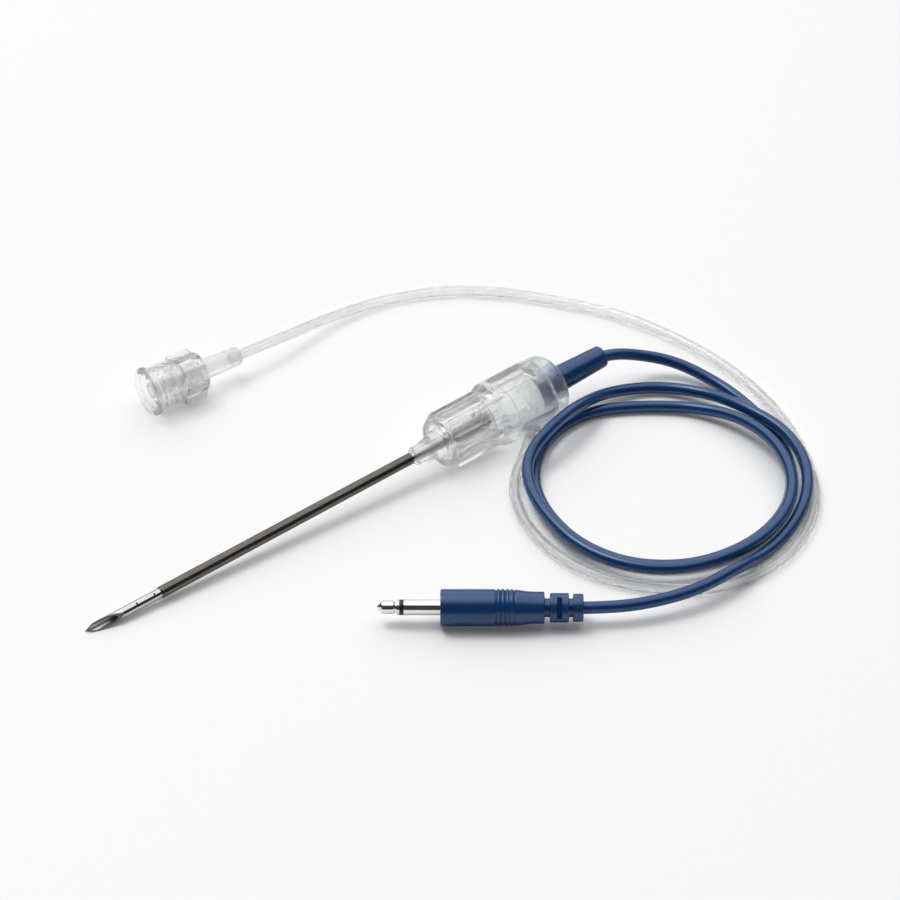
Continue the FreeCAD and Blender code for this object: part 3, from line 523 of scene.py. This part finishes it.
def cord_curve(name, route, radius, roundness, steps):
    """A round cord along a NURBS spline, with closed ends; steps is the fineness along it."""
    curve = bpy.data.curves.new(name, "CURVE")
    curve.dimensions = "3D"
    curve.bevel_depth = radius * MM
    curve.bevel_resolution = roundness
    curve.resolution_u = steps
    curve.use_fill_caps = True
    spline = curve.splines.new("NURBS")
    spline.points.add(len(route) - 1)
    for point, spot in zip(spline.points, route):
        point.co = (*(Vector(spot) * MM), 1.0)
    spline.order_u = 3
    spline.use_endpoint_u = True
    piece = bpy.data.objects.new(name, curve)
    bpy.context.scene.collection.objects.link(piece)
    return piece


# %% Lead and tube
lead_radius = 1.4
tube_radius = 1.3
tube_fineness = {"roundness": 16, "steps": 48}
lead = cord_curve("lead_cord", LEAD_ROUTE, lead_radius, roundness=8, steps=16)
lead.data.materials.append(vinyl)
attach(lead, "needle_set")
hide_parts("lead_cable")
tube = cord_curve("injection_tube", TUBE_ROUTE, tube_radius, **tube_fineness)
tube.data.materials.append(tube_clear)
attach(tube, "needle_set")
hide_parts("extension_tube")
print("route points", len(LEAD_ROUTE), "and", len(TUBE_ROUTE))

# %% [markdown]
# ## The bore of the tube
#
# A clear tube shows its bore as a second pair of lines inside the outer edge. The bore is a thinner
# curve on the same route, made a mesh and turned inside out, so that its faces point into the bore.

# %% Tube bore
bore_radius = 0.72
bore_curve = cord_curve("bore_curve", TUBE_ROUTE, bore_radius, **tube_fineness)
bpy.context.view_layer.update()
bore_mesh = bpy.data.meshes.new_from_object(bore_curve.evaluated_get(bpy.context.evaluated_depsgraph_get()))
bpy.data.objects.remove(bore_curve)
bore_mesh.flip_normals()
bore_mesh.shade_smooth()
bore_mesh.materials.clear()
bore_mesh.materials.append(tube_clear)
tube_bore = bpy.data.objects.new("tube_bore", bore_mesh)
bpy.context.scene.collection.objects.link(tube_bore)
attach(tube_bore, "needle_set")
print("bore faces", len(bore_mesh.polygons))

# %% [markdown]
# ## Steel tube and insulation
#
# The model's own solids already have the ground point, the open bore and the thin sleeve. They only
# need their finishes and a smooth skin, so each is copied, its loose triangles are joined and flat
# faces are merged. The contact's edges also get a hair-thin bevel.

# %% Helper for pieces kept from the model
flat_within = math.radians(0.6)
bevel_from = math.radians(25.0)


def dressed(node, name, material, bevel=0.0):
    """A copy of a model node with joined faces, smooth shading and, where asked, small bevels."""
    source = frame["nodes"][node]

    def build(work):
        work.from_mesh(source.data)
        bmesh.ops.remove_doubles(work, verts=work.verts, dist=join_within)
        bmesh.ops.dissolve_limit(work, angle_limit=flat_within, verts=work.verts, edges=work.edges)

    piece = mesh_piece(name, build, material, sharp=30.0)
    if bevel:
        edge = piece.modifiers.new("edge", "BEVEL")
        edge.width = bevel * MM
        edge.segments = 2
        edge.limit_method = "ANGLE"
        edge.angle_limit = bevel_from
    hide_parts(node)
    return piece



# %% Pieces kept from the model
steel_tube = dressed("cannula", "steel_tube", steel)
lacquer_sleeve = dressed("shaft_insulation", "lacquer_sleeve", lacquer)
contact = dressed("contact_sleeve", "contact", contact_metal, bevel=0.03)
wire = dressed("lead_conductor", "conductor", tinned_wire)
for kept in (steel_tube, lacquer_sleeve, contact, wire):
    print(kept.name, "faces", len(kept.data.polygons))

# %% [markdown]
# ## Hub shell
#
# The shell is one clear moulding: an eight-sided collar in front, a shoulder, and a barrel with a
# flat for the thumb above and below. Its radius follows a rule in two numbers, the place along the
# axis and the angle round it, so the helper for turned pieces can draw it with a shape function.

# %% Shell form
shell_front = 97.9
collar_end = 112.3
shoulder = 114.3
shell_end = 128.0
flat_reach = 6.65
round_reach = 7.15
outside_from = 5.68
scoop_height = 6.6
scoop_lead_in = 1.5
scoop_end = 126.0
scoop_end_wall = 1.6


def ease(t):
    """A smooth step from 0 to 1."""
    t = min(max(t, 0.0), 1.0)
    return t * t * (3 - 2 * t)


def soft_least(a, b, k):
    """The lesser of two lengths, with a rounded edge of about k between them."""
    h = max(k - abs(a - b), 0.0) / k
    return min(a, b) - h * h * k / 4


def shell_shape(x, r, angle):
    """Flats on the collar and the two thumb flats on the barrel; the inner wall stays round."""
    if r < outside_from:
        return r
    eighth = math.pi / 4
    off_flat = angle % eighth - eighth / 2
    flat = soft_least(flat_reach / math.cos(off_flat), round_reach, 0.06)
    collar = soft_least(r, flat, 0.12)
    blend = ease((x - (collar_end - 0.3)) / 0.6)
    reach = collar + (r - collar) * blend
    rise = scoop_lead_in * (1 - ease((x - shoulder - 0.3) / 1.6))
    wall = scoop_end_wall * ease((x - scoop_end + 1.2) / 1.4)
    height = scoop_height + rise + wall
    lift = abs(math.sin(angle))
    if x > shoulder and lift > 0.3:
        reach = soft_least(reach, height / lift, 0.15)
    return reach


shell_outer = [
    (shell_front, 3.53, 0.1), (shell_front, 5.7, 0.25), (100.0, 7.2, 0.3), (collar_end - 0.3, 7.2, 0.1),
    (collar_end, 6.75, 0.2), (113.7, 7.85, 0.5), (shoulder, 8.0, 0.3), (shell_end, 8.0, 0.25),
    (shell_end, 5.6, 0.05), (117.4, 5.6, 0.1), (117.4, 5.2, 0.1), (111.2, 5.2, 0.1), (111.2, 4.6, 0.1),
    (100.0, 4.6, 0.3), (100.0, 3.53, 0.1),
]
shell = turned(
    "shell", shell_outer, needle_line, shell_clear, steps=192, shape=shell_shape, pitch=0.35, sharp=22.0,
)
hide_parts("hub_shell")
print("shell faces", len(shell.data.polygons))

# %% Port for the tube, a short boss low on the barrel
port_place = Matrix.Translation((120.0, -6.9, -5.0))
port_turn = Matrix.Rotation(math.radians(41.5), 4, "Z")
port_line = needle_line @ port_place @ port_turn
port_outline = [(0.0, 1.34, 0.1), (0.0, 2.05, 0.3), (3.1, 2.05, 0.0), (3.1, 1.34, 0.0)]
port = turned("port_boss", port_outline, port_line, shell_clear, steps=64)
print("port faces", len(port.data.polygons))

# %% [markdown]
# ## Inside the hub
#
# The nose is a clear cone that carries a tube into the shell, with eight ribs round it. Behind it a
# clear block leads the liquid to the side. The rear cap closes the shell, and the blue sleeve of the
# lead shows through it, so the clear plastic looks blue there. The cap's own pale blue tone is painted
# as well: painted blue light that stands in for the sleeve seen through the frosted plastic.

# %% Nose with its holder
nose_outline = [
    (90.9, 1.25, 0.05), (90.9, 2.1, 0.1), (91.15, 2.28, 0.15), (91.65, 2.28, 0.15), (91.95, 2.0, 0.1),
    (97.9, 3.5, 0.05), (110.1, 3.5, 0.2), (110.1, 1.74, 0.05), (102.5, 1.74, 0.05), (102.5, 1.25, 0.05),
]
nose = turned("nose", nose_outline, needle_line, inner_clear)
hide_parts("hub_nose")
print("nose faces", len(nose.data.polygons))

# %% Ribs on the holder, spread round it by geometry nodes


def ring_tree(name, count):
    """Copies of the incoming mesh, spread evenly about an axis, made real at the end."""
    tree = bpy.data.node_groups.new(name, "GeometryNodeTree")
    tree.interface.new_socket("Geometry", in_out="INPUT", socket_type="NodeSocketGeometry")
    count_socket = tree.interface.new_socket("Count", in_out="INPUT", socket_type="NodeSocketInt")
    count_socket.default_value = count
    tree.interface.new_socket("Material", in_out="INPUT", socket_type="NodeSocketMaterial")
    tree.interface.new_socket("Geometry", in_out="OUTPUT", socket_type="NodeSocketGeometry")
    nodes = tree.nodes
    link = tree.links.new
    start = nodes.new("NodeGroupInput")
    end = nodes.new("NodeGroupOutput")
    spots = nodes.new("GeometryNodePoints")
    link(start.outputs["Count"], spots.inputs["Count"])
    index = nodes.new("GeometryNodeInputIndex")
    share = nodes.new("ShaderNodeMath")
    share.operation = "DIVIDE"
    link(index.outputs["Index"], share.inputs[0])
    link(start.outputs["Count"], share.inputs[1])
    angle = nodes.new("ShaderNodeMath")
    angle.operation = "MULTIPLY"
    angle.inputs[1].default_value = 2 * math.pi
    link(share.outputs["Value"], angle.inputs[0])
    turn = nodes.new("ShaderNodeCombineXYZ")
    link(angle.outputs["Value"], turn.inputs["X"])
    copies = nodes.new("GeometryNodeInstanceOnPoints")
    link(spots.outputs["Points"], copies.inputs["Points"])
    link(start.outputs["Geometry"], copies.inputs["Instance"])
    link(turn.outputs["Vector"], copies.inputs["Rotation"])
    real = nodes.new("GeometryNodeRealizeInstances")
    link(copies.outputs["Instances"], real.inputs["Geometry"])
    finish = nodes.new("GeometryNodeSetMaterial")
    link(real.outputs["Geometry"], finish.inputs["Geometry"])
    link(start.outputs["Material"], finish.inputs["Material"])
    link(finish.outputs["Geometry"], end.inputs["Geometry"])
    return tree


def spread_round(name, build, count, place, material, body="needle_set", sharp=30.0):
    """One shape drawn in millimetres beside the X axis, copied round it and put on its line."""
    mesh = bpy.data.meshes.new(name + "_one")
    work = bmesh.new()
    build(work)
    bmesh.ops.recalc_face_normals(work, faces=work.faces)
    work.to_mesh(mesh)
    work.free()
    seed = bpy.data.objects.new(name + "_one", mesh)
    bpy.context.scene.collection.objects.link(seed)
    tree = ring_tree(name + "_round", count)
    modifier = seed.modifiers.new("round", "NODES")
    modifier.node_group = tree
    sockets = {s.name: s.identifier for s in tree.interface.items_tree if s.in_out == "INPUT"}
    modifier[sockets["Count"]] = count
    modifier[sockets["Material"]] = material
    bpy.context.view_layer.update()
    result = bpy.data.meshes.new_from_object(seed.evaluated_get(bpy.context.evaluated_depsgraph_get()))
    bpy.data.objects.remove(seed)
    result.transform(place)
    result.name = name
    result.shade_smooth()
    result.set_sharp_from_angle(angle=math.radians(sharp))
    piece = bpy.data.objects.new(name, result)
    bpy.context.scene.collection.objects.link(piece)
    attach(piece, body)
    print(name, "faces", len(result.polygons))
    return piece


def plate(profile, width, bevel):
    """Builds a flat plate from a side outline in X and Z, with its edges eased."""

    def build(work):
        sides = []
        for y in (-width / 2, width / 2):
            sides.append([work.verts.new((x, y, z)) for x, z in profile])
        work.faces.new(sides[0])
        work.faces.new(list(reversed(sides[1])))
        count = len(profile)
        for i in range(count):
            after = (i + 1) % count
            work.faces.new((sides[0][i], sides[1][i], sides[1][after], sides[0][after]))
        bmesh.ops.recalc_face_normals(work, faces=work.faces)
        bmesh.ops.bevel(work, geom=work.edges, offset=bevel, segments=2, affect="EDGES", profile=0.5)

    return build


rib_profile = [(100.5, 3.4), (110.05, 3.4), (110.05, 4.48), (101.5, 4.48), (100.5, 3.6)]
ribs = spread_round("holder_ribs", plate(rib_profile, 0.8, 0.1), 8, needle_line, inner_clear)

# %% Flow block, rear cap and the blue sleeve
block_outline = [
    (111.4, 1.25, 0.05), (111.4, 5.17, 0.2), (117.43, 5.17, 0.05), (117.43, 5.57, 0.05), (124.9, 5.57, 0.3),
    (124.9, 0.0, 0.0), (116.4, 0.0, 0.0), (116.4, 0.9, 0.1), (112.93, 0.9, 0.0), (112.93, 1.25, 0.0),
]
block = turned("flow_insert", block_outline, needle_line, inner_clear)
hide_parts("flow_block")

cap_outline = [
    (125.3, 4.6, 0.1), (125.3, 5.57, 0.1), (128.0, 5.57, 0.0), (128.0, 7.85, 0.12), (130.3, 7.85, 0.7),
    (131.9, 7.0, 0.6), (132.35, 6.35, 0.35), (132.35, 3.23, 0.1), (128.95, 3.23, 0.05), (128.95, 4.6, 0.1),
]
cap = turned("cap", cap_outline, needle_line, frosted, steps=128)
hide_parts("rear_cap")

relief_outline = [
    (127.32, 0.58, 0.0), (127.32, 4.4, 0.15), (128.92, 4.4, 0.15), (128.92, 3.2, 0.1), (132.35, 3.2, 0.0),
    (147.25, 2.72, 0.2), (147.55, 2.45, 0.2), (147.55, 1.43, 0.1), (144.55, 1.43, 0.0), (144.55, 0.58, 0.0),
]
relief = turned("lead_sleeve", relief_outline, needle_line, vinyl)
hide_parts("strain_relief")
for part in (block, cap, relief):
    print(part.name, "faces", len(part.data.polygons))

# %% [markdown]
# ## Luer fitting
#
# The milky body carries the cone for the syringe and the socket for the tube. A very clear collar
# turns on its neck: a thin cup with a lip, three ridges of thread inside, and four grip wings behind
# it with a low rib between each two.

# %% Luer body
neck_outline = [
    (1.0, 1.05, 0.1), (1.0, 1.98, 0.15), (11.92, 2.31, 0.3), (11.92, 3.1, 0.1), (12.92, 3.1, 0.1),
    (12.92, 2.5, 0.05), (15.08, 2.5, 0.0), (15.08, 2.95, 0.2), (15.78, 2.95, 0.2), (15.78, 2.55, 0.3),
    (19.3, 2.5, 0.3), (19.9, 2.42, 0.3), (24.9, 2.42, 0.5), (25.88, 2.0, 0.5), (25.88, 1.34, 0.1),
    (23.08, 1.33, 0.0), (23.08, 1.05, 0.0),
]
luer_neck = turned("luer_neck", neck_outline, luer_line, milky)
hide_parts("luer_body")
print("luer body faces", len(luer_neck.data.polygons))

# %% Turning collar with wings
collar_bore = 4.4
ridge_reach = 3.95
ridge_starts = (8.0, 5.7, 3.2)
ridge = [
    (0.0, collar_bore, 0.1), (0.25, ridge_reach, 0.04), (0.65, ridge_reach, 0.04), (0.9, collar_bore, 0.1),
]
thread = [(start - back, r, cut) for start in ridge_starts for back, r, cut in ridge]
collar_outline = [
    (0.0, 4.75, 0.12), (0.0, 5.7, 0.25), (0.35, 6.05, 0.3), (1.1, 6.05, 0.25), (1.5, 5.45, 0.2),
    (8.4, 5.4, 0.8), (14.5, 4.9, 0.3), (15.0, 4.5, 0.25), (15.0, 2.58, 0.1), (13.0, 2.58, 0.1),
    (13.0, 3.18, 0.15), (8.9, 3.18, 0.6), (8.5, collar_bore, 0.5), *thread, (0.3, collar_bore, 0.15),
]
collar = turned("turning_collar", collar_outline, luer_line, luer_clear, "luer_collar", steps=128)
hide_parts("luer_lock_collar")
wing_profile = [(8.0, 5.0), (14.2, 4.3), (14.5, 4.9), (13.6, 6.3), (8.6, 6.3), (8.0, 5.95)]
wing_line = luer_line @ Matrix.Rotation(math.radians(45.0), 4, "X")
wings = spread_round("collar_wings", plate(wing_profile, 1.1, 0.1), 4, wing_line, luer_clear, "luer_collar")
grip_profile = [(8.0, 5.0), (14.2, 4.4), (14.2, 5.2), (13.7, 5.75), (8.5, 5.75), (8.0, 5.55)]
grips = spread_round("collar_grips", plate(grip_profile, 0.9, 0.1), 4, luer_line, luer_clear, "luer_collar")

# %% [markdown]
# ## Plug
#
# The plug is a turned nickel tip and sleeve with a black ring between them, in a blue moulding. The
# moulding tapers to a short sleeve cut into segments, so that the lead can bend there.

# %% Metal of the plug
tip_outline = [
    (0.0, 0.0, 0.0), (0.0, 0.28, 0.1), (1.02, 1.38, 0.12), (1.45, 1.5, 0.15), (3.6, 1.5, 0.15),
    (4.0, 1.2, 0.08), (4.34, 1.2, 0.03), (4.34, 1.72, 0.05), (4.94, 1.72, 0.05), (4.94, 0.7, 0.0),
    (19.0, 0.7, 0.0), (19.0, 0.0, 0.0),
]
tip = turned("jack_tip", tip_outline, plug_line, nickel)
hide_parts("plug_tip")
ring_outline = [
    (4.97, 0.73, 0.0), (4.97, 1.74, 0.04), (5.88, 1.74, 0.04), (5.88, 1.2, 0.0), (16.8, 1.2, 0.0),
    (16.8, 0.73, 0.0),
]
ring = turned("jack_ring", ring_outline, plug_line, black_ring)
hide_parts("plug_insulator")
sleeve_outline = [
    (5.91, 1.23, 0.0), (5.91, 1.75, 0.05), (14.0, 1.75, 0.0), (14.0, 2.05, 0.0), (15.4, 2.05, 0.0),
    (15.4, 2.6, 0.05), (16.8, 2.6, 0.05), (16.8, 1.23, 0.0),
]
jack_sleeve = turned("jack_sleeve", sleeve_outline, plug_line, nickel)
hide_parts("plug_sleeve")
for part in (tip, ring, jack_sleeve):
    print(part.name, "faces", len(part.data.polygons))

# %% Blue moulding of the plug
groove_places = (26.3, 27.3, 28.3, 29.3, 30.3)
groove_depth = 0.22
ridge_height = 0.07
grip_from = 25.2
grip_until = 31.2
grip_least_radius = 4.0
slot_place = 40.3
slot_half_width = 0.55
slot_floor = 2.1
slot_turn = math.radians(142.0)


def housing_shape(x, r, angle):
    """Grip rings before the taper, and the slot through the first segment."""
    if grip_from < x < grip_until and r > grip_least_radius:
        for place in groove_places:
            r = r + ridge_height * math.exp(-((x - place - 0.5) / 0.3) ** 2)
            r = r - groove_depth * math.exp(-((x - place) / 0.2) ** 2)
        return r
    if abs(x - slot_place) > slot_half_width or r < slot_floor + 0.1:
        return r
    return min(r, slot_floor / max(abs(math.cos(angle - slot_turn)), 0.1))


housing_outline = [
    (14.0, 2.08, 0.05), (14.0, 4.1, 0.35), (25.2, 4.1, 0.0), (30.2, 4.1, 1.6), (33.7, 3.56, 1.6),
    (37.0, 3.56, 0.25), (37.0, 2.1, 0.1), (38.2, 2.1, 0.1), (38.2, 3.27, 0.25), (42.4, 3.27, 0.25),
    (42.4, 2.1, 0.1), (43.3, 2.1, 0.1), (43.3, 3.1, 0.25), (45.6, 3.1, 0.35), (45.6, 1.43, 0.1),
    (42.6, 1.43, 0.0), (42.6, 0.58, 0.0), (20.6, 0.58, 0.0), (20.6, 2.63, 0.0), (15.37, 2.63, 0.0),
    (15.37, 2.08, 0.0),
]
housing = turned("plug_moulding", housing_outline, plug_line, vinyl, shape=housing_shape, pitch=0.14)
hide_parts("plug_housing")
print("housing faces", len(housing.data.polygons))

# %% Pieces hidden in the plug keep their shape and take their metal
for node, material in (("plug_solder_cup", nickel), ("plug_conductor", tinned_wire)):
    cad = frame["nodes"][node]
    cad.data.materials.clear()
    cad.data.materials.append(material)

print("cords declared", lead.name, tube.name)

# %% [markdown]
# ## Table
#
# The table is one pale matt sheet, set a hair below zero so that it doesn't meet the faces that rest
# on it. What is seen directly or through clear plastic also has a faint glow, which keeps the sheet
# near white without stronger lamps.

# %% Table
table_size = 6.0
table_drop = 0.02 * MM
table_tone = (0.90, 0.90, 0.90, 1.0)
table_glow = 0.07
table_mesh = bpy.data.meshes.new("table")
half = table_size / 2
corners = [(-half, -half, 0), (half, -half, 0), (half, half, 0), (-half, half, 0)]
table_mesh.from_pydata([Vector(c) - Vector((0, 0, table_drop)) for c in corners], [], [(0, 1, 2, 3)])
table = bpy.data.objects.new("table", table_mesh)
bpy.context.scene.collection.objects.link(table)
table_paint, tree, output = new_material("table_paint")
matte = add(tree, "BsdfDiffuse", {"Color": table_tone})
glow = add(tree, "Emission", {"Strength": table_glow})
path = add(tree, "LightPath")
through_or_direct = {0: path.outputs["Is Camera Ray"], 1: path.outputs["Is Transmission Ray"]}
seen = number(tree, "MAXIMUM", links=through_or_direct)
none = add(tree, "Emission", {"Strength": 0.0})
choose = add(tree, "MixShader", links={"Fac": seen})
tree.links.new(none.outputs["Emission"], choose.inputs[1])
tree.links.new(glow.outputs["Emission"], choose.inputs[2])
total = add(tree, "AddShader")
tree.links.new(matte.outputs["BSDF"], total.inputs[0])
tree.links.new(choose.outputs["Shader"], total.inputs[1])
tree.links.new(total.outputs["Shader"], output.inputs["Surface"])
table_mesh.materials.append(table_paint)
print("table", table_size, "m wide")

# %% [markdown]
# ## Light
#
# The light is a studio with one very large soft box. It hangs overhead, tipped towards the back, and
# the rest of the room is dim. So metal shows a bright upper band, a dark band where it mirrors the
# room, and the pale table below. A smaller lamp behind gives the shadows their direction.

# %% World
box_direction = (0.29, 0.37, 0.883)
box_edge = (0.63, 0.74)
room_level = 0.05
box_level = 1.42
background_level = 0.98
white = (1.0, 1.0, 1.0, 1.0)
world = bpy.data.worlds.new("studio")
bpy.context.scene.world = world
world.use_nodes = True
sky = world.node_tree
sky.nodes.clear()
sky_output = sky.nodes.new("ShaderNodeOutputWorld")
toward = add(sky, "TexCoord")
facing = dot(sky, {1: box_direction}, {0: toward.outputs["Generated"]})
box_share = spread(sky, facing, room_level, box_level, *box_edge)
room = add(sky, "Background", {"Color": white}, {"Strength": box_share})
bright = add(sky, "Background", {"Color": white, "Strength": background_level})
ray = add(sky, "LightPath")
pick = add(sky, "MixShader", links={"Fac": ray.outputs["Is Camera Ray"]})
sky.links.new(room.outputs["Background"], pick.inputs[1])
sky.links.new(bright.outputs["Background"], pick.inputs[2])
sky.links.new(pick.outputs["Shader"], sky_output.inputs["Surface"])
print("soft box towards", box_direction)

# %% Lamp
key_place = Vector((-0.30, 0.75, 1.80))
key_size = 0.80
key_power = 13.0
key_data = bpy.data.lights.new("key", "AREA")
key_data.shape = "SQUARE"
key_data.size = key_size
key_data.energy = key_power
key = bpy.data.objects.new("key", key_data)
key.location = view_target + key_place
key.rotation_euler = key_place.to_track_quat("Z", "Y").to_euler()
bpy.context.scene.collection.objects.link(key)
print("key", [round(v, 3) for v in key.location], "power", key_power)
